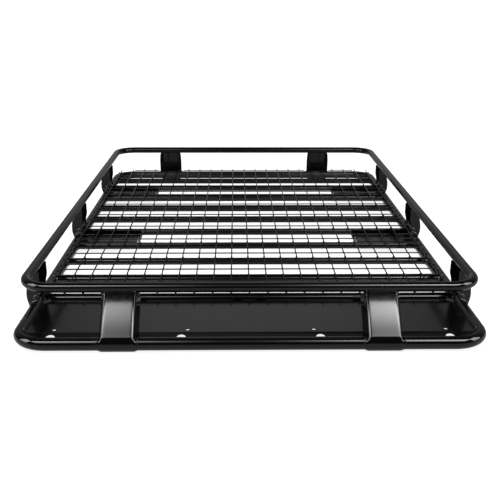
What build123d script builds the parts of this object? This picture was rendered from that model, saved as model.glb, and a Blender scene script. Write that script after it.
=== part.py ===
from build123d import *
import os
from math import atan, cos, degrees, radians, sin, sqrt

# Roof cargo basket: a welded steel tube tray with a mesh floor, a sloping front deflector and an upper guard rail.
# Frame: +X is the right-hand side seen from the front, the front faces -Y, +Z is up.
# The origin is the middle of the footprint, on the surface that the stanchion feet stand on. Millimetres.

# Overall layout, all measured to tube centre lines
rail_width = 1132.0
rail_length = 1822.0
corner_radius = 75.0
seam_run = 45.0            # straight run between a lower corner's bend and its butt weld
floor_tube_y = -627.0
upper_width = 1124.0
upper_front_y = -832.0
upper_rear_y = 911.0

# Tubes: outside diameters and one common wall
lower_od = 32.0
upper_od = 25.4
bar_od = 22.0
tube_wall = 2.0

# The rear stanchions bulge further out than the front ones, so the layout moves forward to centre the footprint
footprint_shift_y = -3.2

# Heights
lower_z = 19.1
upper_z = 132.4

# Crossbars behind the front floor tube
bar_first_y = -477.0
bar_pitch = 158.0
bar_count = 8
last_bar_y = 762.0
cope_depth = 8.0           # how far a bar's end reaches past the side tube's flank before it is cut to shape

# Welded mesh floor: the crosswise wires lie on the rails and bars, the lengthwise wires on top of them
wire_od = 4.0
mesh_pitch = 50.0
mesh_rows = 32
mesh_columns = 23
mesh_front_y = -629.0
mesh_half_width = 562.0
mesh_front_lap = 5.0
mesh_corner_lap = 10.0
wire_overhang = 4.0        # past the corner tube's line
stanchion_clearance = 6.0  # between the rearmost cross wire and the rear stanchions

# Stanchions: a pressed channel, open towards the load space
web_width = 77.0
open_width = 96.0
channel_depth = 34.0
sheet = 3.0
press_radius = 8.0
foot_width = 96.0
foot_chamfer = 6.0
foot_wrap_top = 8.0        # how far the wrapped foot reaches above the lower rail's centre
rail_seat = 4.0            # depth to which the channel's top end is cut below the upper rail's centre
front_stanchion_x = 318.0
rear_stanchion_x = 330.0
side_stanchion_y = (-634.0, -15.0, 608.0)
fit_gap = 0.1

# Upright stanchions: the web bulges outwards half-way up
bulge = 6.4
bulge_z = 62.0
upright_top_out = 11.0     # web's outer line at its top, outside and below the upper rail's centre
upright_top_drop = 7.0
flange_edge_y = -13.0      # the flanges' free edge, inside the lower rail's centre
low_flange_edge_y = -8.0
low_flange_rise = 14.0

# Leaning stanchions: the web follows the rail, then an arc, and then leans back almost straight
lean_start = radians(8)
lean_knee = radians(40)
lean_radius = 45.0
lean_top_out = 9.0
lean_top_drop = 5.0
lean_flange_edge_y = -6.0
lean_flange_rise = 9.0

# Deflector panel
panel_sheet = 2.0
panel_z = 23.1
panel_rear_y = -641.0
panel_bend_y = -852.0
panel_front_y = -892.0
panel_front_z = 10.1
large_hole_radius = 11.5
small_hole_radius = 5.0
large_hole_x = (488.0, 170.0)
small_hole_x = (484.0, 156.0)
small_hole_y = -836.0
large_hole_y = -870.0
tab_width = 26.0
tab_height = 8.0
tab_reach = 6.0            # in front of the floor tube
tab_x = (-290.0, -32.0, 30.0, 292.0)
weld_bite = 1.5            # how far the panel's outline runs into the tubes before it is cut to them
gusset_size = 26.0
gusset_sheet = 4.0

# Mounting plates and the channels behind them
plate_inner_x = 363.0
plate_sheet = 3.0
plate_top_z = 32.1
plate_length = 64.0
plate_lip = 12.0
slot_radius = 4.5
slot_length = 30.0
slot_spacing = 100.0
channel_base_z = 14.1
plate_overlap = 1.0        # how far plates run into the side tubes before they are cut to them

# Stanchion bolts
bolt_radius = 4.0
bolt_z = 47.6
bolt_inset = 2.0
head_radius = 7.5
head_height = 5.0
head_round = 2.0
head_seat = 1.0            # how far a head's flat is sunk into the slanting flange
bolt_reach = open_width / 2 - 3.0

beyond = 90.0              # a distance past every stanchion's sides, for cutters

half_width = rail_width / 2
half_length = rail_length / 2
lower_radius = lower_od / 2
upper_radius = upper_od / 2
bar_radius = bar_od / 2
bar_z = lower_z + lower_radius - bar_radius
cross_wire_z = lower_z + lower_radius + wire_od / 2
long_wire_z = cross_wire_z + wire_od
bar_ys = [bar_first_y + bar_pitch * i for i in range(bar_count)] + [last_bar_y]

nodes = {}


def rod(axis, radius, start, end, centre):
    """Solid round bar along X, Y or Z between two values; centre holds the other two coordinates."""
    middle = (start + end) / 2
    spot = {"X": (middle, *centre), "Y": (centre[0], middle, centre[1]), "Z": (*centre, middle)}[axis]
    turn = {"X": (0, 90, 0), "Y": (90, 0, 0), "Z": (0, 0, 0)}[axis]
    return Pos(*spot) * Rot(*turn) * Cylinder(radius, abs(end - start))


def straight_tube(axis, od, start, end, centre):
    outer = rod(axis, od / 2, start, end, centre)
    return outer - rod(axis, od / 2 - tube_wall, start - 1, end + 1, centre)


def bent_tube(od, points):
    """Tube along straight runs with the common corner radius between them."""
    path = FilletPolyline(*points, radius=corner_radius)
    start = Plane(origin=path @ 0, z_dir=path % 0)
    ring = start * (Circle(od / 2) - Circle(od / 2 - tube_wall))
    return sweep(ring, path=path)


def box(low, high):
    size = [b - a for a, b in zip(low, high)]
    return Pos(*[(a + b) / 2 for a, b in zip(low, high)]) * Box(*size)


# ---------------------------------------------------------------- rails
leg = corner_radius + seam_run
seam_front_y = -half_length + leg
seam_rear_y = half_length - leg


def lower_rail():
    w, n = half_width, half_length
    z = lower_z
    nodes["lower_rail_front"] = bent_tube(
        lower_od, [(-w, seam_front_y, z), (-w, -n, z), (w, -n, z), (w, seam_front_y, z)])
    nodes["lower_rail_rear"] = bent_tube(
        lower_od, [(w, seam_rear_y, z), (w, n, z), (-w, n, z), (-w, seam_rear_y, z)])
    nodes["lower_rail_left"] = straight_tube("Y", lower_od, seam_front_y, seam_rear_y, (-w, z))
    nodes["lower_rail_right"] = straight_tube("Y", lower_od, seam_front_y, seam_rear_y, (w, z))


def upper_rail():
    """Two bent tubes, butt-welded above one front and the diagonally opposite rear stanchion."""
    w = upper_width / 2
    front, rear, z = upper_front_y, upper_rear_y, upper_z
    right = [(front_stanchion_x, front, z), (w, front, z), (w, rear, z), (-rear_stanchion_x, rear, z)]
    left = [(front_stanchion_x, front, z), (-w, front, z), (-w, rear, z), (-rear_stanchion_x, rear, z)]
    nodes["upper_rail_right"] = bent_tube(upper_od, right)
    nodes["upper_rail_left"] = bent_tube(upper_od, left)


# ---------------------------------------------------------------- floor
def side_tube_cutters():
    reach = half_length
    return [rod("Y", lower_radius, -reach, reach, (side * half_width, lower_z)) for side in (-1, 1)]


def coped_bar(y):
    """Crossbar whose ends are cut to sit against the round side tubes."""
    end = half_width - lower_radius + cope_depth
    bar = straight_tube("X", bar_od, -end, end, (y, bar_z))
    for cutter in side_tube_cutters():
        bar -= cutter
    return bar


def floor_bars():
    nodes["front_floor_tube"] = coped_bar(floor_tube_y)
    for number, y in enumerate(bar_ys, 1):
        nodes[f"crossbar_{number}"] = coped_bar(y)


def corner_reach(offset):
    """How far the mesh runs past the corner centre, at a sideways offset from it."""
    radius = corner_radius + mesh_corner_lap
    return sqrt(max(radius ** 2 - max(offset, 0.0) ** 2, 0.0))


def mesh_floor():
    corner_x = half_width - corner_radius
    corner_y = half_length - corner_radius
    radius = wire_od / 2
    lengthwise = []
    for i in range(mesh_columns):
        x = (i - (mesh_columns - 1) / 2) * mesh_pitch
        end = corner_y + corner_reach(abs(x) - corner_x) + wire_overhang
        start = mesh_front_y - mesh_front_lap
        lengthwise.append(rod("Y", radius, start, end, (x, long_wire_z)))
    crosswise = []
    for i in range(mesh_rows):
        y = mesh_front_y + i * mesh_pitch
        end = min(mesh_half_width, corner_x + corner_reach(y - corner_y) + wire_overhang)
        spans = [(-end, end)]
        if y > half_length:
            clear = open_width / 2 + stanchion_clearance
            inner, outer = rear_stanchion_x - clear, rear_stanchion_x + clear
            spans = [(-end, -outer), (-inner, inner), (outer, end)]
        for low, high in spans:
            crosswise.append(rod("X", radius, low, high, (y, cross_wire_z)))
    nodes["mesh_wires_lengthwise"] = Compound(lengthwise)
    nodes["mesh_wires_crosswise"] = Compound(crosswise)


# ---------------------------------------------------------------- stanchions
# Each one is built standing on the local origin: local X runs along the rail, local +Y points out of the
# basket, and the lower rail's centre is at (0, lower_z).
def corners_at(face, y):
    return face.vertices().filter_by(lambda vertex: abs(vertex.Y - y) < 0.01)


def channel_section():
    web, mouth = web_width / 2, open_width / 2
    slant = (mouth - web) / channel_depth * sheet
    outline = Polyline(
        (-mouth, -channel_depth), (-web, 0), (web, 0), (mouth, -channel_depth),
        (mouth - sheet, -channel_depth), (web - sheet + slant, -sheet),
        (-web + sheet - slant, -sheet), (-mouth + sheet, -channel_depth), close=True)
    face = make_face(outline)
    face = fillet(corners_at(face, 0), press_radius)
    return fillet(corners_at(face, -sheet), press_radius - sheet)


def swept_channel(path):
    """The pressed section carried along the outer line of the web, from the foot up to the rail."""
    direction = path % 0
    outward = Vector(0, direction.Z, -direction.Y)
    start = Plane(origin=path @ 0, x_dir=(1, 0, 0), z_dir=direction)
    if start.y_dir.dot(outward) < 0:
        start = Plane(origin=path @ 0, x_dir=(-1, 0, 0), z_dir=direction)
    return sweep(start * channel_section(), path=path)


def foot_wrap():
    """The web's lower end, bent round the outside of the lower rail and under it."""
    inner = lower_radius + fit_gap
    outer = inner + sheet
    ring = rod("X", outer, -foot_width / 2, foot_width / 2, (0, lower_z))
    ring -= rod("X", inner, -foot_width, foot_width, (0, lower_z))
    ring &= box((-foot_width, 0, lower_z - outer - 1), (foot_width, outer + 1, lower_z + foot_wrap_top))
    for side in (-1, 1):
        wedge = Pos(side * foot_width / 2, outer, lower_z - outer) * Rot(0, 45, 0)
        ring -= wedge * Box(foot_chamfer * 2, beyond, foot_chamfer * 2)
    return ring


def stanchion(path, rail_y, inner_cut):
    """Channel and foot in one piece, cut to fit both rails. rail_y is the upper rail's local Y."""
    body = swept_channel(path) + foot_wrap()
    body -= inner_cut
    body -= rod("X", lower_radius + fit_gap, -beyond, beyond, (0, lower_z))
    body -= rod("X", upper_radius, -beyond, beyond, (rail_y, upper_z))
    body -= box((-beyond, rail_y - beyond, upper_z - rail_seat), (beyond, rail_y + beyond, upper_z + beyond))
    return keep_largest(body)


def keep_largest(shape):
    return max(shape.solids(), key=lambda solid: solid.volume)


wrap_radius = lower_radius + fit_gap + sheet
foot_top = (0, wrap_radius, lower_z + 2.0)


def upright_stanchion(rail_y):
    """Side and rear pattern: the web stands upright and bulges gently outwards."""
    middle = (0, wrap_radius + bulge, bulge_z)
    top = (0, rail_y + upright_top_out, upper_z - upright_top_drop)
    cut = box((-beyond, -beyond, -beyond), (beyond, flange_edge_y, 2 * beyond))
    cut += box((-beyond, -beyond, -beyond), (beyond, low_flange_edge_y, lower_z + low_flange_rise))
    return stanchion(ThreePointArc(foot_top, middle, top), rail_y, cut)


def leaning_stanchion(rail_y):
    """Front pattern: the web leans back from the lower rail to the set-back upper rail."""
    start = (0, wrap_radius * cos(lean_start), lower_z + wrap_radius * sin(lean_start))
    knee_y = start[1] - lean_radius * (cos(lean_start) - cos(lean_knee))
    knee = (0, knee_y, start[2] + lean_radius * (sin(lean_knee) - sin(lean_start)))
    top = (0, rail_y + lean_top_out, upper_z - lean_top_drop)
    lower = TangentArc(start, knee, tangent=(0, -sin(lean_start), cos(lean_start)))
    upper = TangentArc(knee, top, tangent=lower % 1)
    cut = box((-beyond, -2 * beyond, -beyond), (beyond, lean_flange_edge_y, lower_z + lean_flange_rise))
    return stanchion(Wire([lower, upper]), rail_y, cut)


def place(shape, x, y, turn):
    return Pos(x, y, 0) * Rot(0, 0, turn) * shape


def stanchions():
    side_rail = upper_width / 2 - half_width
    upright = upright_stanchion(side_rail)
    rear = upright_stanchion(upper_rear_y - half_length)
    front = leaning_stanchion(-half_length - upper_front_y)
    for name, side in (("left", -1), ("right", 1)):
        nodes[f"stanchion_front_{name}"] = place(front, side * front_stanchion_x, -half_length, 180)
        nodes[f"stanchion_rear_{name}"] = place(rear, side * rear_stanchion_x, half_length, 0)
        for number, y in enumerate(side_stanchion_y, 1):
            nodes[f"stanchion_{name}_{number}"] = place(upright, side * half_width, y, -90 * side)


def stanchion_bolts():
    """One through bolt per side stanchion, just above the lower rail, with a domed head at each end."""
    for name, side in (("left", -1), ("right", 1)):
        bolts = []
        for number, y in enumerate(side_stanchion_y, 1):
            post = f"stanchion_{name}_{number}"
            x = side * (half_width - bolt_inset)
            shank = rod("Y", bolt_radius, y - bolt_reach, y + bolt_reach, (x, bolt_z))
            nodes[post] = keep_largest(nodes[post] - shank)
            bolt = shank
            for end in (-1, 1):
                inner_end = y + end * (bolt_reach - bolt_radius)
                outer_end = y + end * (bolt_reach + head_height - head_seat)
                head = rod("Y", head_radius, inner_end, outer_end, (x, bolt_z))
                rim = head.edges().filter_by(GeomType.CIRCLE).sort_by(Axis.Y)[-1 if end > 0 else 0]
                bolt += fillet(rim, head_round)
            bolts.append(keep_largest(bolt - nodes[post]))
        nodes[f"stanchion_bolts_{name}"] = Compound(bolts)


# ---------------------------------------------------------------- deflector
def deflector_panel():
    """Flat sheet behind the front rail with a flange sloping down to meet it."""
    slope = (panel_z - panel_front_z) / (panel_bend_y - panel_front_y)
    drop = panel_sheet * sqrt(1 + slope ** 2)
    profile = Polyline(
        (0, panel_rear_y, panel_z), (0, panel_bend_y, panel_z), (0, panel_front_y, panel_front_z),
        (0, panel_front_y, panel_front_z - drop), (0, panel_bend_y, panel_z - panel_sheet),
        (0, panel_rear_y, panel_z - panel_sheet), close=True)
    sheet_body = extrude(make_face(profile), amount=half_width, dir=(1, 0, 0), both=True)
    inner_radius = corner_radius - lower_radius + weld_bite
    edge = half_width - lower_radius + weld_bite
    back = floor_tube_y + 2 * corner_radius
    front = -half_length + lower_radius - weld_bite
    plan = Pos(0, (front + back) / 2) * RectangleRounded(2 * edge, back - front, inner_radius)
    panel = sheet_body & extrude(plan, amount=upper_z)
    panel -= nodes["lower_rail_front"]
    for cutter in side_tube_cutters():
        panel -= cutter
    for side in (-1, 1):
        for x in small_hole_x:
            panel -= rod("Z", small_hole_radius, 0, upper_z, (side * x, small_hole_y))
        for x in large_hole_x:
            across = large_hole_y - panel_bend_y
            centre = Pos(side * x, large_hole_y, panel_z + across * slope)
            panel -= centre * Rot(degrees(atan(slope)), 0, 0) * Cylinder(large_hole_radius, large_hole_radius)
    nodes["deflector_panel"] = keep_largest(panel)


def deflector_tabs():
    """Four small plates that tie the panel's rear edge to the front floor tube."""
    tube = rod("X", bar_radius, -half_width, half_width, (floor_tube_y, bar_z))
    tabs = []
    for x in tab_x:
        low = (x - tab_width / 2, floor_tube_y - bar_radius - tab_reach, panel_z)
        high = (x + tab_width / 2, floor_tube_y, panel_z + tab_height)
        tabs.append(keep_largest(box(low, high) - tube))
    nodes["deflector_tabs"] = Compound(tabs)


def corner_gussets():
    """Small triangles between the front floor tube and each side tube, on top of the panel."""
    for name, side in (("left", -1), ("right", 1)):
        x = side * half_width
        y = floor_tube_y
        leg_length = gusset_size + lower_radius
        corner = Polyline((x, y), (x - side * leg_length, y), (x, y - leg_length), close=True)
        plate = Pos(0, 0, panel_z) * extrude(make_face(corner), amount=gusset_sheet, dir=(0, 0, 1))
        plate -= rod("Y", lower_radius, -half_length, half_length, (x, lower_z))
        plate -= rod("X", bar_radius, -half_width, half_width, (y, bar_z))
        nodes[f"floor_gusset_{name}"] = keep_largest(plate)


# ---------------------------------------------------------------- roof mounting plates
def slotted_plate(y_front):
    """Flat plate welded to the crossbar in front of it, with its inner end turned down."""
    outer_x = half_width - lower_radius + plate_overlap
    y_rear = y_front + plate_length
    top = plate_top_z
    plate = box((plate_inner_x, y_front, top - plate_sheet), (outer_x, y_rear, top))
    plate += box((plate_inner_x, y_front, top - plate_lip), (plate_inner_x + plate_sheet, y_rear, top))
    middle = (plate_inner_x + outer_x) / 2
    for side in (-1, 1):
        spot = Pos(middle + side * slot_spacing / 2, y_front + plate_length / 2, top)
        plate -= spot * extrude(SlotOverall(slot_length, slot_radius * 2), amount=plate_lip, both=True)
    return plate


def open_channel(y_front, y_rear):
    """Channel open at the top, between the slotted plate and the next crossbar."""
    outer_x = half_width - lower_radius + plate_overlap
    body = box((plate_inner_x, y_front, channel_base_z), (outer_x, y_rear, plate_top_z + 1.0))
    body -= box((0, y_front + plate_sheet, channel_base_z + plate_sheet),
                (rail_width, y_rear - plate_sheet, upper_z))
    return body


def mounting_plates():
    for place_name, first in (("front", 2), ("rear", 6)):
        y_front = bar_ys[first] + bar_radius
        y_rear = bar_ys[first + 1] - bar_radius
        right_plate = slotted_plate(y_front)
        right_channel = open_channel(y_front + plate_length, y_rear)
        for cutter in side_tube_cutters():
            right_plate -= cutter
            right_channel -= cutter
        nodes[f"mount_plate_{place_name}_right"] = keep_largest(right_plate)
        nodes[f"mount_channel_{place_name}_right"] = keep_largest(right_channel)
        nodes[f"mount_plate_{place_name}_left"] = mirror(nodes[f"mount_plate_{place_name}_right"], Plane.YZ)
        nodes[f"mount_channel_{place_name}_left"] = mirror(
            nodes[f"mount_channel_{place_name}_right"], Plane.YZ)


lower_rail()
upper_rail()
floor_bars()
mesh_floor()
stanchions()
stanchion_bolts()
deflector_panel()
deflector_tabs()
corner_gussets()
mounting_plates()

os.makedirs("parts", exist_ok=True)
for node, shape in nodes.items():
    export_step(Pos(0, footprint_shift_y, 0) * shape, f"parts/{node}.step")
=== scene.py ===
import math

import bmesh
import bpy
from mathutils import Matrix, Vector, noise


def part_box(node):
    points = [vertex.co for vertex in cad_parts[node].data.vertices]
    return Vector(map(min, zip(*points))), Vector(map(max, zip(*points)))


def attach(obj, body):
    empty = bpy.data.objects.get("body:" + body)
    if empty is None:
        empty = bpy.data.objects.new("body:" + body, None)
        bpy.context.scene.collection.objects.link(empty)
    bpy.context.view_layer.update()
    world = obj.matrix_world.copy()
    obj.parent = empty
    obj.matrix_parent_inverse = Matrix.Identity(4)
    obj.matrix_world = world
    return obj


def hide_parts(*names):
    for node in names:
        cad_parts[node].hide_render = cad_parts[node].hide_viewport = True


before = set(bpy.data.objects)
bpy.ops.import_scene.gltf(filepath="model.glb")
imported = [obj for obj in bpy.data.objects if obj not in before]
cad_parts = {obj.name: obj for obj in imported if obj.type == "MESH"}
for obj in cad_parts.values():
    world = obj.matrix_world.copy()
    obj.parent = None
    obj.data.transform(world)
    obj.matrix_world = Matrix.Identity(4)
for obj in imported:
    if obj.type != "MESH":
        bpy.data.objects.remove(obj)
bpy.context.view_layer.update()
MM = 0.001

# ---------------------------------------------------------------- sizes read from the frame
low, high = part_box("lower_rail_front")
LOWER_R = (high.z - low.z) / 2
LOWER_Z = (high.z + low.z) / 2
HALF_W = high.x - LOWER_R
FRONT_Y = low.y + LOWER_R
REAR_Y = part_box("lower_rail_rear")[1].y - LOWER_R
SEAM_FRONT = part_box("lower_rail_left")[0].y
SEAM_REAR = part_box("lower_rail_left")[1].y

low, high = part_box("upper_rail_right")
UPPER_R = (high.z - low.z) / 2
UPPER_Z = (high.z + low.z) / 2
UPPER_HALF_W = high.x - UPPER_R
UPPER_FRONT = low.y + UPPER_R
UPPER_REAR = high.y - UPPER_R
SEAM_UPPER_REAR_X = low.x
SEAM_UPPER_FRONT_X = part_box("upper_rail_left")[1].x

CORNER_R = 75 * MM
SHEET = 3 * MM
FIT_GAP = 0.1 * MM
WIRE_R = 2 * MM
PITCH = 50 * MM
FULL = 2 * math.pi


# ---------------------------------------------------------------- materials
def coat(name, colour, roughness, peel, peel_depth, tint, specular):
    """Powder coat: near-black, with fine orange peel and a cloudy tone and gloss."""
    material = bpy.data.materials.new(name)
    material.use_nodes = True
    tree = material.node_tree
    shader = tree.nodes["Principled BSDF"]
    shader.inputs["Specular IOR Level"].default_value = specular
    shader.inputs["IOR"].default_value = 1.5
    where = tree.nodes.new("ShaderNodeTexCoord")

    def clouds(scale, detail):
        node = tree.nodes.new("ShaderNodeTexNoise")
        node.inputs["Scale"].default_value = scale
        node.inputs["Detail"].default_value = detail
        tree.links.new(where.outputs["Object"], node.inputs["Vector"])
        return node.outputs["Fac"]

    def spread(source, low_value, high_value):
        node = tree.nodes.new("ShaderNodeMapRange")
        node.inputs["From Min"].default_value = 0.3
        node.inputs["From Max"].default_value = 0.7
        node.inputs["To Min"].default_value = low_value
        node.inputs["To Max"].default_value = high_value
        tree.links.new(source, node.inputs["Value"])
        return node.outputs["Result"]

    tone = tree.nodes.new("ShaderNodeValToRGB")
    tone.color_ramp.elements[0].position = 0.3
    tone.color_ramp.elements[0].color = (*colour, 1)
    tone.color_ramp.elements[1].position = 0.75
    tone.color_ramp.elements[1].color = (*tint, 1)
    tree.links.new(clouds(14, 3), tone.inputs["Fac"])
    tree.links.new(tone.outputs["Color"], shader.inputs["Base Color"])
    tree.links.new(spread(clouds(60, 4), roughness * 0.85, roughness * 1.2), shader.inputs["Roughness"])
    bump = tree.nodes.new("ShaderNodeBump")
    bump.inputs["Distance"].default_value = peel_depth
    bump.inputs["Strength"].default_value = 0.4
    tree.links.new(clouds(peel, 2), bump.inputs["Height"])
    tree.links.new(bump.outputs["Normal"], shader.inputs["Normal"])
    return material


BLACK = (0.0022, 0.0022, 0.0026)
WARM_BLACK = (0.0036, 0.0034, 0.0036)
PLATE_BLACK = (0.005, 0.005, 0.0055)
PLATE_GREY = (0.008, 0.008, 0.0085)
ZINC_BLACK = (0.03, 0.03, 0.032)
ZINC_GREY = (0.05, 0.048, 0.046)
gloss = coat("gloss_powder_coat", BLACK, 0.085, 420, 0.00002, WARM_BLACK, 0.4)
wire_coat = coat("wire_powder_coat", BLACK, 0.13, 500, 0.00003, WARM_BLACK, 0.4)
weld_coat = coat("weld_bead_coat", BLACK, 0.28, 300, 0.00008, WARM_BLACK, 0.5)
panel_coat = coat("panel_powder_coat", BLACK, 0.17, 420, 0.00002, WARM_BLACK, 0.4)
plate_coat = coat("plate_powder_coat", PLATE_BLACK, 0.16, 420, 0.00003, PLATE_GREY, 0.45)
bolt_coat = coat("bolt_black_zinc", ZINC_BLACK, 0.2, 700, 0.00003, ZINC_GREY, 0.6)


# ---------------------------------------------------------------- mesh helpers
class Skin:
    """Collects vertices and faces of one piece."""

    def __init__(self):
        self.verts = []
        self.faces = []

    def ring(self, points):
        first = len(self.verts)
        self.verts.extend(points)
        return list(range(first, len(self.verts)))

    def bridge(self, a, b):
        n = len(a)
        for i in range(n):
            j = (i + 1) % n
            self.faces.append((a[i], a[j], b[j], b[i]))

    def cap(self, ring, flip=False):
        self.faces.append(tuple(reversed(ring)) if flip else tuple(ring))

    def loft(self, rings, capped=True):
        done = [self.ring(r) for r in rings]
        for a, b in zip(done, done[1:]):
            self.bridge(a, b)
        if capped:
            self.cap(done[0], True)
            self.cap(done[-1])


def piece(name, skin, material, nodes=(), sharp=40):
    mesh = bpy.data.meshes.new(name)
    mesh.from_pydata([tuple(v) for v in skin.verts], [], skin.faces)
    return finish_piece(name, mesh, material, nodes, sharp)


def finish_piece(name, mesh, material, nodes, sharp):
    work = bmesh.new()
    work.from_mesh(mesh)
    bmesh.ops.recalc_face_normals(work, faces=work.faces)
    work.to_mesh(mesh)
    work.free()
    mesh.materials.clear()
    mesh.materials.append(material)
    mesh.shade_smooth()
    mesh.set_sharp_from_angle(angle=math.radians(sharp))
    thing = bpy.data.objects.new(name, mesh)
    bpy.context.scene.collection.objects.link(thing)
    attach(thing, "root")
    if nodes:
        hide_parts(*nodes)
    return thing


def applied(thing):
    """Bakes the piece's modifiers into its mesh."""
    bpy.context.view_layer.update()
    graph = bpy.context.evaluated_depsgraph_get()
    mesh = bpy.data.meshes.new_from_object(thing.evaluated_get(graph))
    thing.modifiers.clear()
    thing.data = mesh


def circle(centre, side, up, radius, count):
    angles = [FULL * i / count for i in range(count)]
    return [centre + side * (radius * math.cos(a)) + up * (radius * math.sin(a)) for a in angles]


def rounded_path(points, radius, steps=20):
    """Points of a flat path with each inner corner turned into an arc."""
    points = [Vector(p) for p in points]
    out = [points[0]]
    for before, corner, after in zip(points, points[1:], points[2:]):
        a = (before - corner).normalized()
        b = (after - corner).normalized()
        half = a.angle(b) / 2
        reach = radius / math.tan(half)
        centre = corner + (a + b).normalized() * (radius / math.sin(half))
        start = corner + a * reach - centre
        end = corner + b * reach - centre
        turn = start.angle(end)
        for i in range(steps + 1):
            share = i / steps
            arm = (start * math.sin((1 - share) * turn) + end * math.sin(share * turn)) / math.sin(turn)
            out.append(centre + arm)
    out.append(points[-1])
    return out


def resampled(points, step):
    """Adds points on long straight stretches, so that shading stays even."""
    out = [points[0]]
    for a, b in zip(points, points[1:]):
        parts = max(1, int((b - a).length / step))
        out.extend(a.lerp(b, (i + 1) / parts) for i in range(parts))
    return out


def tangents(points):
    out = []
    for i in range(len(points)):
        a = points[max(i - 1, 0)]
        b = points[min(i + 1, len(points) - 1)]
        out.append((b - a).normalized())
    return out


def flat_tube(skin, points, radius):
    """Round tube along a path that lies in a horizontal plane."""
    up = Vector((0, 0, 1))
    points = resampled(points, 60 * MM)
    rings = []
    for p, t in zip(points, tangents(points)):
        rings.append(circle(p, t.cross(up), up, radius, 48))
    skin.loft(rings)


BEAD_STEP = 0.9          # millimetres between a bead's rings
BEAD_SCALE = 4.6         # millimetres between its ripples
BEAD_RIPPLE = 0.16


def bead(skin, points, radius, seed=0, closed=False):
    """Weld bead: a thin run of overlapping scales along a line of points."""
    points = resampled([Vector(p) for p in points], BEAD_STEP * MM)
    if closed:
        points = points[:-1]
    directions = tangents(points)
    if closed:
        directions[0] = directions[-1] = (points[1] - points[-1]).normalized()
    side = directions[0].orthogonal().normalized()
    rings = []
    run = 0.0
    for i, (p, t) in enumerate(zip(points, directions)):
        side = (side - t * side.dot(t)).normalized()
        up = t.cross(side)
        run += BEAD_STEP
        scale = abs(math.sin(run * math.pi / BEAD_SCALE + seed))
        lump = 0.14 * noise.noise(p * 260 + Vector((seed, 0, 0)))
        size = radius * (1 - BEAD_RIPPLE + BEAD_RIPPLE * scale + lump)
        if not closed:
            size *= min(1.0, 0.45 + 0.2 * min(i, len(points) - 1 - i))
        rings.append(circle(p, side, up, size, 8))
    if closed:
        done = [skin.ring(r) for r in rings]
        for a, b in zip(done, done[1:] + done[:1]):
            skin.bridge(a, b)
    else:
        skin.loft(rings)


def blob(skin, centre, size, rings=4, count=8):
    """Small flattened weld tack."""
    done = []
    for i in range(1, rings):
        angle = math.pi * i / rings
        done.append(skin.ring([
            centre + Vector((size.x * math.sin(angle) * math.cos(FULL * k / count),
                             size.y * math.sin(angle) * math.sin(FULL * k / count),
                             size.z * math.cos(angle))) for k in range(count)]))
    for a, b in zip(done, done[1:]):
        skin.bridge(a, b)
    for ring, sign in ((done[0], 1), (done[-1], -1)):
        tip = skin.ring([centre + Vector((0, 0, sign * size.z))])[0]
        for k in range(count):
            skin.faces.append((ring[k], ring[(k + 1) % count], tip))


def softened(node, material, width):
    """A CAD node's shape with its flat faces merged and its hard edges rounded."""
    work = bmesh.new()
    work.from_mesh(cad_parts[node].data)
    bmesh.ops.remove_doubles(work, verts=work.verts, dist=1e-6)
    bmesh.ops.dissolve_limit(work, angle_limit=math.radians(0.6), verts=work.verts, edges=work.edges)
    mesh = bpy.data.meshes.new(node + "_sheet")
    work.to_mesh(mesh)
    work.free()
    thing = finish_piece(node + "_sheet", mesh, material, (node,), 40)
    bevel = thing.modifiers.new("edge", "BEVEL")
    bevel.width = width
    bevel.segments = 2
    bevel.limit_method = "ANGLE"
    bevel.angle_limit = math.radians(35)
    bevel.harden_normals = True
    applied(thing)


# ---------------------------------------------------------------- rails
def lower_rail():
    w, z = HALF_W, LOWER_Z
    runs = {
        "lower_rail_front": [(-w, SEAM_FRONT, z), (-w, FRONT_Y, z), (w, FRONT_Y, z), (w, SEAM_FRONT, z)],
        "lower_rail_rear": [(w, SEAM_REAR, z), (w, REAR_Y, z), (-w, REAR_Y, z), (-w, SEAM_REAR, z)],
        "lower_rail_left": [(-w, SEAM_FRONT, z), (-w, SEAM_REAR, z)],
        "lower_rail_right": [(w, SEAM_FRONT, z), (w, SEAM_REAR, z)],
    }
    for node, points in runs.items():
        skin = Skin()
        flat_tube(skin, rounded_path(points, CORNER_R), LOWER_R)
        piece(node + "_tube", skin, gloss, (node,))


def upper_rail():
    w, front, rear, z = UPPER_HALF_W, UPPER_FRONT, UPPER_REAR, UPPER_Z
    for side, node in ((1, "upper_rail_right"), (-1, "upper_rail_left")):
        points = [(SEAM_UPPER_FRONT_X, front, z), (side * w, front, z), (side * w, rear, z),
                  (SEAM_UPPER_REAR_X, rear, z)]
        skin = Skin()
        flat_tube(skin, rounded_path(points, CORNER_R), UPPER_R)
        piece(node + "_tube", skin, gloss, (node,))


def seam(skin, centre, axis, radius, seed):
    """Linished butt weld: a low ring, just proud of the tube."""
    up = Vector((0, 0, 1))
    side = axis.cross(up)
    bead_radius = 1.0 * MM
    ring = circle(centre, side, up, radius - 0.55 * bead_radius, 60)
    bead(skin, ring + ring[:1], bead_radius, seed=seed, closed=True)


def rail_seams():
    skin = Skin()
    along, across = Vector((0, 1, 0)), Vector((1, 0, 0))
    for side in (-1, 1):
        for k, y in enumerate((SEAM_FRONT, SEAM_REAR)):
            seam(skin, Vector((side * HALF_W, y, LOWER_Z)), along, LOWER_R, side + k)
    seam(skin, Vector((SEAM_UPPER_FRONT_X, UPPER_FRONT, UPPER_Z)), across, UPPER_R, 3)
    seam(skin, Vector((SEAM_UPPER_REAR_X, UPPER_REAR, UPPER_Z)), across, UPPER_R, 4)
    piece("rail_butt_welds", skin, weld_coat, sharp=60)


# ---------------------------------------------------------------- floor
BAR_NODES = ["front_floor_tube"] + [f"crossbar_{n}" for n in range(1, 10)]


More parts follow.
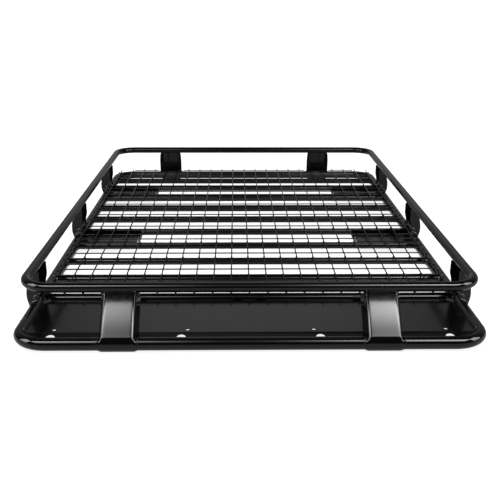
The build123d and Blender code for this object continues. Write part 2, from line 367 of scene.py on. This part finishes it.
def bar_end(z, gap=0.0):
    """X at which a crossbar's wall meets the round side tube, at height z."""
    rise = min(abs(z - LOWER_Z), LOWER_R)
    return HALF_W - math.sqrt(LOWER_R ** 2 - rise ** 2) - gap


def floor_bars():
    welds = Skin()
    count = 40
    for number, node in enumerate(BAR_NODES):
        low_corner, high_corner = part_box(node)
        radius = (high_corner.z - low_corner.z) / 2
        y = (low_corner.y + high_corner.y) / 2
        z = (low_corner.z + high_corner.z) / 2
        skin = Skin()
        rings = []
        steps = 24
        for k in range(steps + 1):
            share = 2 * k / steps - 1
            ring = []
            for i in range(count):
                angle = FULL * i / count
                point = Vector((0, y + radius * math.cos(angle), z + radius * math.sin(angle)))
                point.x = share * bar_end(point.z)
                ring.append(point)
            rings.append(ring)
        skin.loft(rings)
        piece(node + "_tube", skin, gloss, (node,))
        for side in (-1, 1):
            line = []
            lift = 0.4 * MM
            for i in range(count + 1):
                angle = FULL * i / count
                reach = radius + lift
                point = Vector((0, y + reach * math.cos(angle), z + reach * math.sin(angle)))
                point.x = side * bar_end(point.z, lift)
                line.append(point)
            bead(welds, line, 2.0 * MM, seed=number * 2 + side, closed=True)
    piece("floor_bar_welds", welds, weld_coat, sharp=60)


def wire(skin, start, end, side, up):
    """Drawn wire with slightly rounded, sheared ends."""
    along = (end - start).normalized()
    length = (end - start).length
    marks = [(0, 0.55), (0.5 * MM, 0.9), (1.0 * MM, 1.0)]
    marks += [(length - d, s) for d, s in reversed(marks)]
    rings = [circle(start + along * d, side, up, WIRE_R * s, 12) for d, s in marks]
    skin.loft(rings)


def mesh_floor():
    x_axis, y_axis, z_axis = Vector((1, 0, 0)), Vector((0, 1, 0)), Vector((0, 0, 1))
    corner_x = HALF_W - CORNER_R
    corner_y = REAR_Y - CORNER_R
    reach = CORNER_R + 10 * MM
    overhang = 4 * MM

    def corner_reach(offset):
        """How far the wires run past a rear corner's centre, at a sideways offset from it."""
        return math.sqrt(max(reach ** 2 - max(offset, 0) ** 2, 0)) + overhang

    low_l, high_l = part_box("mesh_wires_lengthwise")
    low_c, high_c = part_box("mesh_wires_crosswise")
    columns = round((high_l.x - low_l.x - 2 * WIRE_R) / PITCH) + 1
    rows = round((high_c.y - low_c.y - 2 * WIRE_R) / PITCH) + 1
    top_z = (low_l.z + high_l.z) / 2
    under_z = (low_c.z + high_c.z) / 2
    half = high_c.x

    skin = Skin()
    tacks = Skin()
    xs = [(i - (columns - 1) / 2) * PITCH for i in range(columns)]
    ys = [low_c.y + WIRE_R + i * PITCH for i in range(rows)]
    for x in xs:
        end = corner_y + corner_reach(abs(x) - corner_x)
        wire(skin, Vector((x, low_l.y, top_z)), Vector((x, end, top_z)), x_axis, z_axis)
    piece("floor_mesh_lengthwise", skin, wire_coat, ("mesh_wires_lengthwise",))

    skin = Skin()
    clearance = 6 * MM
    gap_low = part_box("stanchion_rear_right")[0].x - clearance
    gap_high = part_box("stanchion_rear_right")[1].x + clearance
    for y in ys:
        end = min(half, corner_x + corner_reach(y - corner_y))
        spans = [(-end, end)]
        if y > REAR_Y:
            spans = [(-end, -gap_high), (-gap_low, gap_low), (gap_high, end)]
        for a, b in spans:
            wire(skin, Vector((a, y, under_z)), Vector((b, y, under_z)), y_axis, z_axis)
        for x in xs:
            crossed = any(a <= x <= b for a, b in spans)
            if crossed and y < corner_y + corner_reach(abs(x) - corner_x):
                blob(tacks, Vector((x, y, (top_z + under_z) / 2)), Vector((2.5, 2.5, 1.6)) * MM)
        for side in (-1, 1):
            if end > half - 1 * MM:
                wobble = noise.noise(Vector((side * 7, y * 31, 2)))
                spot = Vector((side * (end - (3 + wobble) * MM), y, under_z - 1.0 * MM))
                size = Vector((4.6 + wobble, 3.6 - wobble, 2.4)) * MM
                blob(tacks, spot, size, rings=6, count=12)
    piece("floor_mesh_crosswise", skin, wire_coat, ("mesh_wires_crosswise",))

    bars = [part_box(n) for n in BAR_NODES]
    for low_b, high_b in bars:
        y = (low_b.y + high_b.y) / 2
        for x in xs:
            spot = Vector((x, y, high_b.z + 2.2 * MM))
            blob(tacks, spot, Vector((3.2, 5.0, 3.2)) * MM, rings=6, count=10)
    piece("floor_mesh_welds", tacks, weld_coat, sharp=70)


# ---------------------------------------------------------------- stanchions
WEB_HALF = 38.5 * MM
MOUTH_HALF = 48 * MM
DEPTH = 33.5 * MM
SPLAY = 9.5 / 34
INNER_FACE = -13 * MM
PRESS_R = 9 * MM
EAR_DEPTH = 1.8 * MM
CHAMFER_RUN = 15 * MM
CHAMFER_CUT = 7.5 * MM
ROW_STEP = 2.2 * MM
MOUTH_TOP = 42 * MM          # above this height the flanges have their full depth
FLARE_RISE = 14 * MM
BULGE_Z = 62 * MM
BULGE = 6.4 * MM
LEAN_START = math.radians(8)
LEAN_KNEE = math.radians(40)
LEAN_R = 45 * MM


def arc_from(start, direction, end, count):
    """Arc in the local (out, up) plane that leaves start along direction and arrives at end."""
    chord = end - start
    normal = Vector((-direction.y, direction.x))
    bend = 2 * chord.dot(normal) / chord.length_squared
    if abs(bend) < 1e-6:
        return [start.lerp(end, i / count) for i in range(count + 1)]
    centre = start + normal / bend
    arm = start - centre
    angle = arm.angle_signed(end - centre)
    points = []
    for i in range(count + 1):
        turn = Matrix.Rotation(-angle * i / count, 2)
        points.append(centre + turn @ arm)
    return points


def foot_line(top_angle=0.0):
    """The web's outer line where it goes round the lower rail, from underneath up to the front."""
    radius = LOWER_R + FIT_GAP + SHEET
    count = 24
    bottom_angle = math.radians(-86)
    angles = [bottom_angle + (top_angle - bottom_angle) * i / count for i in range(count + 1)]
    return [Vector((radius * math.cos(a), LOWER_Z + radius * math.sin(a))) for a in angles]


def upright_line(rail_out):
    foot = foot_line()
    start = foot[-1] + Vector((0, 2 * MM))
    middle = Vector((start.x + BULGE, BULGE_Z))
    end = Vector((rail_out + 11 * MM, UPPER_Z - 7 * MM))
    points = [start]
    count = 30
    for i in range(1, count + 1):
        t = i / count
        a, b, c = (1 - t) * (1 - 2 * t), 4 * t * (1 - t), t * (2 * t - 1)
        points.append(start * a + middle * b + end * c)
    return foot + points


def leaning_line(rail_out):
    """Round the rail, then an arc, and then nearly straight back to the upper rail."""
    foot = foot_line(LEAN_START)
    centre = foot[-1] - Vector((math.cos(LEAN_START), math.sin(LEAN_START))) * LEAN_R
    count = 16
    turns = [LEAN_START + (LEAN_KNEE - LEAN_START) * i / count for i in range(1, count + 1)]
    lower = [centre + Vector((math.cos(a), math.sin(a))) * LEAN_R for a in turns]
    end = Vector((rail_out + 9 * MM, UPPER_Z - 5 * MM))
    upper = arc_from(lower[-1], Vector((-math.sin(LEAN_KNEE), math.cos(LEAN_KNEE))), end, 30)
    return foot + lower + upper[1:]


def spread_evenly(points, step):
    total = sum((b - a).length for a, b in zip(points, points[1:]))
    count = max(2, round(total / step))
    out = [points[0]]
    target = total / count
    run = 0.0
    for a, b in zip(points, points[1:]):
        length = (b - a).length
        while run + length >= target * len(out) - 1e-9 and len(out) < count:
            out.append(a.lerp(b, (target * len(out) - run) / length))
        run += length
    out.append(points[-1])
    return out


def allowed_depth(point, inward, inner_face):
    """How far a flange reaches back from the web before it meets the lower rail or its trimmed edge."""
    centre = Vector((0, LOWER_Z))
    steps = 66
    if inner_face is not None and inward.x < -0.2:
        limit = (point.x - inner_face) / -inward.x
        if limit < DEPTH and point.y > LOWER_Z + LOWER_R:
            return limit
    for i in range(steps + 1):
        depth = DEPTH * i / steps
        if (point + inward * depth - centre).length < LOWER_R + 0.2 * MM:
            return max(depth - DEPTH / steps, 0)
    return DEPTH


def flange_outline(mouth_half, depth):
    """Half of the pressed section: from the middle of the web, round the bend, to the flange's edge."""
    radius = min(PRESS_R, depth * 0.9 + 0.6 * MM)
    slope = Vector((mouth_half - WEB_HALF, depth))
    length = slope.length
    slope.normalize()
    turn = math.acos(max(-1, min(1, slope.x)))
    reach = min(radius * math.tan(turn / 2), length * 0.45)
    points = [Vector((WEB_HALF * s, 0)) for s in (0, 0.2, 0.4, 0.6)] + [Vector((WEB_HALF - reach * 1.6, 0))]
    bend = 8
    a = Vector((WEB_HALF - reach, 0))
    corner = Vector((WEB_HALF, 0))
    b = corner + slope * reach
    for i in range(bend + 1):
        t = i / bend
        points.append(a * (1 - t) ** 2 + corner * 2 * t * (1 - t) + b * t ** 2)
    edge = corner + slope * length
    for s in (0.2, 0.45, 0.7, 0.9, 1.0):
        points.append(b.lerp(edge, s))
    return points


def foot_flare(z):
    """1 where the flanges lie flat round the lower rail, 0 where the channel has its full depth."""
    share = max(0, min(1, (MOUTH_TOP - z) / FLARE_RISE))
    return share * share * (3 - 2 * share)


def stanchion_mesh(line, rail_out, inner_face):
    """Pressed sheet as one grid, trimmed to the upper rail. Local X runs along the rail, +Y points out."""
    line = spread_evenly(line, ROW_STEP)
    rail = Vector((rail_out, UPPER_Z))
    depths = []
    for p, t in zip(line, tangents([Vector((0, v.x, v.y)) for v in line])):
        inward = Vector((-t.z, t.y))
        depths.append((p, inward, allowed_depth(p, inward, inner_face)))
    smooth = []
    for i in range(len(depths)):
        window = depths[max(0, i - 2):i + 3]
        smooth.append(sum(w[2] for w in window) / len(window))
    rows = []
    for (p, inward, _), depth in zip(depths, smooth):
        depth = max(depth, EAR_DEPTH)
        flare = foot_flare(p.y)
        mouth = (WEB_HALF + SPLAY * depth) * (1 - flare) + MOUTH_HALF * flare
        rows.append([(q.x, p + inward * q.y) for q in flange_outline(mouth, depth)])
    width = len(rows[0])
    for c in range(width):
        top = len(rows) - 1
        for r in range(len(rows)):
            if (rows[r][c][1] - rail).length < UPPER_R - 0.4 * MM:
                top = r
                break
        stop = rows[top][c][1]
        for r in range(top + 1, len(rows)):
            rows[r][c] = (rows[r][c][0], stop)
    for r, row in enumerate(rows):
        limit = MOUTH_HALF - max(0, CHAMFER_RUN - r * ROW_STEP) * CHAMFER_CUT / CHAMFER_RUN
        for c, (x, spot) in enumerate(row):
            row[c] = (min(x, limit), spot)
    count = 2 * width - 1
    verts, faces = [], []
    for row in rows:
        full = [(-x, s) for x, s in reversed(row[1:])] + row
        verts.extend(Vector((x, s.x, s.y)) for x, s in full)
    for r in range(len(rows) - 1):
        for c in range(count - 1):
            a = r * count + c
            faces.append((a, a + 1, a + count + 1, a + count))
    top_row = verts[(len(rows) - 1) * count:]
    seam_edge = [v.copy() for v in top_row if (Vector((v.y, v.z)) - rail).length < UPPER_R + 2.5 * MM]
    return verts, faces, seam_edge


def pressed_sheet(name, node, line, rail_out, place, inner_face):
    verts, faces, seam_edge = stanchion_mesh(line, rail_out, inner_face)
    mesh = bpy.data.meshes.new(name)
    mesh.from_pydata([tuple(v) for v in verts], [], faces)
    work = bmesh.new()
    work.from_mesh(mesh)
    bmesh.ops.remove_doubles(work, verts=work.verts, dist=2e-5)
    bmesh.ops.dissolve_degenerate(work, edges=work.edges, dist=1e-6)
    bmesh.ops.recalc_face_normals(work, faces=work.faces)
    out = sum((f.normal.y for f in work.faces if f.calc_center_median().z > 60 * MM), 0)
    if out < 0:
        bmesh.ops.reverse_faces(work, faces=work.faces)
    bmesh.ops.transform(work, matrix=place, verts=work.verts)
    work.to_mesh(mesh)
    work.free()
    mesh.materials.append(gloss)
    mesh.shade_smooth()
    thing = bpy.data.objects.new(name, mesh)
    bpy.context.scene.collection.objects.link(thing)
    solid = thing.modifiers.new("sheet", "SOLIDIFY")
    solid.thickness = SHEET
    solid.offset = -1
    solid.use_even_offset = True
    solid.thickness_clamp = 1.0
    edge = thing.modifiers.new("edge", "BEVEL")
    edge.width = 0.8 * MM
    edge.segments = 2
    edge.limit_method = "ANGLE"
    edge.angle_limit = math.radians(50)
    applied(thing)
    thing.data.shade_smooth()
    thing.data.set_sharp_from_angle(angle=math.radians(45))
    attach(thing, "root")
    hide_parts(node)
    return [place @ p for p in seam_edge]


def stanchions():
    welds = Skin()
    side_out = UPPER_HALF_W - HALF_W
    rear_out = UPPER_REAR - REAR_Y
    front_out = FRONT_Y - UPPER_FRONT
    plans = []
    for word, side in (("left", -1), ("right", 1)):
        for where, base_y, turn, line, out, inner in (
                ("front", FRONT_Y, math.pi, leaning_line(front_out), front_out, None),
                ("rear", REAR_Y, 0, upright_line(rear_out), rear_out, INNER_FACE)):
            node = f"stanchion_{where}_{word}"
            x = sum(c.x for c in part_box(node)) / 2
            place = Matrix.Translation((x, base_y, 0)) @ Matrix.Rotation(turn, 4, "Z")
            plans.append((node, place, line, out, inner))
        for number in (1, 2, 3):
            node = f"stanchion_{word}_{number}"
            y = sum(c.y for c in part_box(node)) / 2
            turned = Matrix.Rotation(-side * math.pi / 2, 4, "Z")
            place = Matrix.Translation((side * HALF_W, y, 0)) @ turned
            plans.append((node, place, upright_line(side_out), side_out, INNER_FACE))
    for number, (node, place, line, out, inner) in enumerate(plans):
        edge = pressed_sheet(node + "_pressing", node, line, out, place, inner)
        bead(welds, edge, 2.6 * MM, seed=number)
        for side in (-1, 1):
            x = side * (MOUTH_HALF + 0.3 * MM)
            angles = [math.radians(15 + 60 * i / 10) for i in range(11)]
            reach = LOWER_R + 0.9 * MM
            line = [place @ Vector((x, reach * math.cos(a), LOWER_Z + reach * math.sin(a))) for a in angles]
            bead(welds, line, 2.2 * MM, seed=number + side)
    piece("stanchion_welds", welds, weld_coat, sharp=60)


# Half-section of a bolt head, from its washer to the rim of the socket: radius, height, in millimetres
HEAD_PROFILE = ((9.0, -1.6), (9.0, 0.3), (8.8, 0.6), (6.9, 0.6), (6.9, 1.4), (6.6, 2.4), (5.8, 3.4),
                (4.6, 4.2), (3.2, 4.6))
SOCKET_HALF = 2.3
SOCKET_TOP, SOCKET_BOTTOM = 4.4, 1.6


def bolt_heads():
    """Domed cap with a hexagon socket, on a thin washer, at both ends of each cross bolt."""
    for word, side in (("left", -1), ("right", 1)):
        skin = Skin()
        for number in (1, 2, 3):
            low_s, high_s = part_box(f"stanchion_{word}_{number}")
            low_b, high_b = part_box(f"stanchion_bolts_{word}")
            x = (low_b.x + high_b.x) / 2
            z = (low_b.z + high_b.z) / 2
            middle = (low_s.y + high_s.y) / 2
            face = (high_s.y - low_s.y) / 2 - 4.2 * MM
            for end in (-1, 1):
                axis = Vector((0, end, 0))
                base = Vector((x, middle, z))
                u, v = Vector((1, 0, 0)), Vector((0, 0, 1))
                rings = [circle(base + axis * (face + h * MM), u, v, r * MM, 24) for r, h in HEAD_PROFILE]
                done = [skin.ring(r) for r in rings]
                for a, b in zip(done, done[1:]):
                    skin.bridge(a, b)
                skin.cap(done[0])
                inner = []
                for height in (SOCKET_TOP, SOCKET_BOTTOM):
                    ring = []
                    for i in range(24):
                        angle = FULL * i / 24
                        sector = (angle % (FULL / 6)) - FULL / 12
                        r = SOCKET_HALF * MM / math.cos(sector)
                        ring.append(base + axis * (face + height * MM)
                                    + u * (r * math.cos(angle)) + v * (r * math.sin(angle)))
                    inner.append(skin.ring(ring))
                skin.bridge(done[-1], inner[0])
                skin.bridge(inner[0], inner[1])
                skin.cap(inner[1])
            ends = [Vector((x, middle + e * face, z)) for e in (-1, 1)]
            skin.loft([circle(c, Vector((1, 0, 0)), Vector((0, 0, 1)), 4 * MM, 20) for c in ends])
        node = f"stanchion_bolts_{word}"
        piece(node + "_set", skin, bolt_coat, (node,), sharp=35)


# ---------------------------------------------------------------- sheet-metal pieces
def sheet_pieces():
    softened("deflector_panel", panel_coat, 0.5 * MM)
    softened("deflector_tabs", gloss, 0.6 * MM)
    for word in ("left", "right"):
        softened(f"floor_gusset_{word}", gloss, 0.6 * MM)
        for where in ("front", "rear"):
            softened(f"mount_plate_{where}_{word}", plate_coat, 0.5 * MM)
            softened(f"mount_channel_{where}_{word}", gloss, 0.6 * MM)


lower_rail()
upper_rail()
rail_seams()
floor_bars()
mesh_floor()
stanchions()
bolt_heads()
sheet_pieces()


# ---------------------------------------------------------------- studio
def floor_material(name, colour, emission):
    material = bpy.data.materials.new(name)
    material.use_nodes = True
    tree = material.node_tree
    shader = tree.nodes["Principled BSDF"]
    shader.inputs["Roughness"].default_value = 0.9
    shader.inputs["Specular IOR Level"].default_value = 0.0
    texture = tree.nodes.new("ShaderNodeTexNoise")
    texture.inputs["Scale"].default_value = 3
    ramp = tree.nodes.new("ShaderNodeValToRGB")
    ramp.color_ramp.elements[0].color = (*(c * 0.995 for c in colour), 1)
    ramp.color_ramp.elements[1].color = (*colour, 1)
    tree.links.new(texture.outputs["Fac"], ramp.inputs["Fac"])
    tree.links.new(ramp.outputs["Color"], shader.inputs["Base Color"])
    shader.inputs["Emission Color"].default_value = (1, 1, 1, 1)
    shader.inputs["Emission Strength"].default_value = emission
    return material


def stage_floor():
    skin = Skin()
    skin.cap(skin.ring(circle(Vector((0, 0, 0)), Vector((1, 0, 0)), Vector((0, 1, 0)), 90.0, 96)))
    mesh = bpy.data.meshes.new("studio_floor")
    mesh.from_pydata([tuple(v) for v in skin.verts], [], skin.faces)
    mesh.materials.append(floor_material("studio_floor_white", (0.5, 0.5, 0.5), 0.88))
    floor = bpy.data.objects.new("studio_floor", mesh)
    bpy.context.scene.collection.objects.link(floor)
    floor.visible_glossy = False


def glow_material(name, build):
    """Emission whose strength build() works out from the object's own coordinates."""
    material = bpy.data.materials.new(name)
    material.use_nodes = True
    tree = material.node_tree
    tree.nodes.clear()
    out = tree.nodes.new("ShaderNodeOutputMaterial")
    glow = tree.nodes.new("ShaderNodeEmission")
    where = tree.nodes.new("ShaderNodeTexCoord")
    split = tree.nodes.new("ShaderNodeSeparateXYZ")
    tree.links.new(where.outputs["Object"], split.inputs["Vector"])
    tree.links.new(build(tree, split.outputs), glow.inputs["Strength"])
    tree.links.new(glow.outputs["Emission"], out.inputs["Surface"])
    return material


def ramp(tree, source, start, end, low_value, high_value):
    node = tree.nodes.new("ShaderNodeMapRange")
    node.interpolation_type = "SMOOTHSTEP"
    node.inputs["From Min"].default_value = start
    node.inputs["From Max"].default_value = end
    node.inputs["To Min"].default_value = low_value
    node.inputs["To Max"].default_value = high_value
    tree.links.new(source, node.inputs["Value"])
    return node.outputs["Result"]


def combine(tree, operation, a, b=None):
    node = tree.nodes.new("ShaderNodeMath")
    node.operation = operation
    tree.links.new(a, node.inputs[0])
    if b is not None:
        tree.links.new(b, node.inputs[1])
    return node.outputs["Value"]


def reflected_only(name, mesh, material):
    """A studio panel that shows in reflections, and neither lights, shades nor blocks anything."""
    mesh.materials.append(material)
    panel = bpy.data.objects.new(name, mesh)
    bpy.context.scene.collection.objects.link(panel)
    panel.visible_camera = False
    panel.visible_diffuse = False
    panel.visible_transmission = False
    panel.visible_volume_scatter = False
    panel.visible_shadow = False


def tent():
    """Surroundings in reflections: dark towards the front, dim grey towards the back, dimmer at the sides."""
    skin = Skin()
    radius, count, rows = 14.0, 96, 48
    rings = []
    for r in range(rows):
        height = math.radians(-1 + 90 * r / rows)
        rings.append([Vector((radius * math.cos(height) * math.cos(FULL * i / count),
                              radius * math.cos(height) * math.sin(FULL * i / count),
                              radius * math.sin(height))) for i in range(count)])
    done = [skin.ring(r) for r in rings]
    for a, b in zip(done, done[1:]):
        skin.bridge(a, b)
    skin.cap(done[-1])
    mesh = bpy.data.meshes.new("studio_tent")
    mesh.from_pydata([tuple(v) for v in skin.verts], [], skin.faces)

    def glow(tree, axis):
        back = ramp(tree, axis["Y"], 0, 11, 0.012, 0.34)
        sides = ramp(tree, combine(tree, "ABSOLUTE", axis["X"]), 1.0, 5.0, 1.0, 0.5)
        return combine(tree, "MULTIPLY", back, sides)

    reflected_only("studio_tent", mesh, glow_material("studio_tent_glow", glow))


def quad(name, corners):
    mesh = bpy.data.meshes.new(name)
    mesh.from_pydata([tuple(c) for c in corners], [], [(0, 1, 2, 3)])
    return mesh


def floor_in_reflections():
    """The floor as the gloss coat sees it: a glowing panel with painted shade, pale in front, dimmer under
    and behind the basket where its shadow falls.
    """
    reach, height = 14.0, -0.002
    mesh = quad("studio_floor_mirrored", [(-reach, -reach, height), (reach, -reach, height),
                                          (reach, reach, height), (-reach, reach, height)])

    def glow(tree, axis):
        # painted shade: the glow drops from 0.6 in front to 0.4 under and behind the basket
        return ramp(tree, axis["Y"], -1.2, 0.4, 0.6, 0.4)

    reflected_only("studio_floor_mirrored", mesh, glow_material("studio_floor_mirrored_glow", glow))


def overhead_scrim():
    """A long diffuser above the front, lit from both ends and the back, so that its middle is dim."""
    front, back, reach, height = -3.15, -1.69, 2.6, 2.2
    mesh = quad("studio_scrim", [(-reach, front, height), (reach, front, height),
                                 (reach, back, height), (-reach, back, height)])

    def glow(tree, axis):
        out_from_middle = combine(tree, "ABSOLUTE", axis["X"])
        across = ramp(tree, out_from_middle, 0.05, 1.25, 1.0, 17.0)
        right = ramp(tree, axis["X"], -0.3, 0.3, 0.9, 1.2)
        along = ramp(tree, axis["Y"], -2.35, -1.75, 0.35, 1.15)
        return combine(tree, "MULTIPLY", combine(tree, "MULTIPLY", across, right), along)

    reflected_only("studio_scrim", mesh, glow_material("studio_scrim_glow", glow))


def side_panels():
    """Upright strip lights at each side, which draw the bright lines along the pressed bends."""
    front, back, bottom, top = -1.9, -0.6, 0.5, 2.6
    for word, side in (("left", -1), ("right", 1)):
        x = side * 3.0
        corners = [(x, front, bottom), (x, back, bottom), (x, back, top), (x, front, top)]
        mesh = quad(f"studio_strip_{word}", corners)

        def glow(tree, axis):
            return ramp(tree, axis["Z"], 0.4, top, 5.0, 9.0)

        reflected_only(f"studio_strip_{word}", mesh, glow_material(f"studio_strip_{word}_glow", glow))


def backdrop():
    """Pale wall far off, all round, seen only by the camera."""
    skin = Skin()
    radius, bottom, top = 70, -1, 60
    x_axis, y_axis = Vector((1, 0, 0)), Vector((0, 1, 0))
    done = [skin.ring(circle(Vector((0, 0, z)), x_axis, y_axis, radius, 96)) for z in (bottom, top)]
    skin.bridge(done[0], done[1])
    skin.cap(done[1])
    mesh = bpy.data.meshes.new("studio_backdrop")
    mesh.from_pydata([tuple(v) for v in skin.verts], [], skin.faces)

    def glow(tree, axis):
        return ramp(tree, axis["Z"], 0, top, 1.05, 0.95)

    mesh.materials.append(glow_material("studio_backdrop_glow", glow))
    wall = bpy.data.objects.new("studio_backdrop", mesh)
    bpy.context.scene.collection.objects.link(wall)
    wall.visible_diffuse = False
    wall.visible_glossy = False
    wall.visible_transmission = False
    wall.visible_shadow = False


def softbox(name, centre, width, height, power):
    """Area light aimed at the origin. It lights the surfaces and shows in no reflection."""
    data = bpy.data.lights.new(name, "AREA")
    data.shape = "RECTANGLE"
    data.size = width
    data.size_y = height
    data.energy = power
    lamp = bpy.data.objects.new(name, data)
    lamp.location = centre
    lamp.rotation_euler = (-Vector(centre)).to_track_quat("-Z", "Y").to_euler()
    lamp.visible_camera = False
    lamp.visible_glossy = False
    bpy.context.scene.collection.objects.link(lamp)


def camera():
    data = bpy.data.cameras.new("camera")
    data.lens = 57.65
    data.sensor_width = 36
    data.clip_end = 400
    view = bpy.data.objects.new("camera", data)
    forward = Vector((0.01685, 0.95049, -0.31030)).normalized()
    up = Vector((0.00224, 0.31031, 0.95063))
    right = forward.cross(up).normalized()
    up = right.cross(forward)
    turn = Matrix((right, up, -forward)).transposed().to_4x4()
    view.matrix_world = Matrix.Translation((-0.0350, -2.6606, 0.8235)) @ turn
    bpy.context.scene.collection.objects.link(view)
    bpy.context.scene.camera = view


stage_floor()
backdrop()
tent()
floor_in_reflections()
overhead_scrim()
side_panels()
softbox("key_softbox", (0, -1.6, 3.2), 3.4, 2.4, 60)
softbox("fill_left", (-4.0, 0.5, 2.6), 2.5, 2.5, 40)
softbox("fill_right", (4.0, 0.5, 2.6), 2.5, 2.5, 40)

world = bpy.data.worlds.new("studio_world")
world.use_nodes = True
world.node_tree.nodes["Background"].inputs["Color"].default_value = (1, 1, 1, 1)
world.node_tree.nodes["Background"].inputs["Strength"].default_value = 0.35
bpy.context.scene.world = world
bpy.context.scene.view_settings.view_transform = "Standard"
camera()
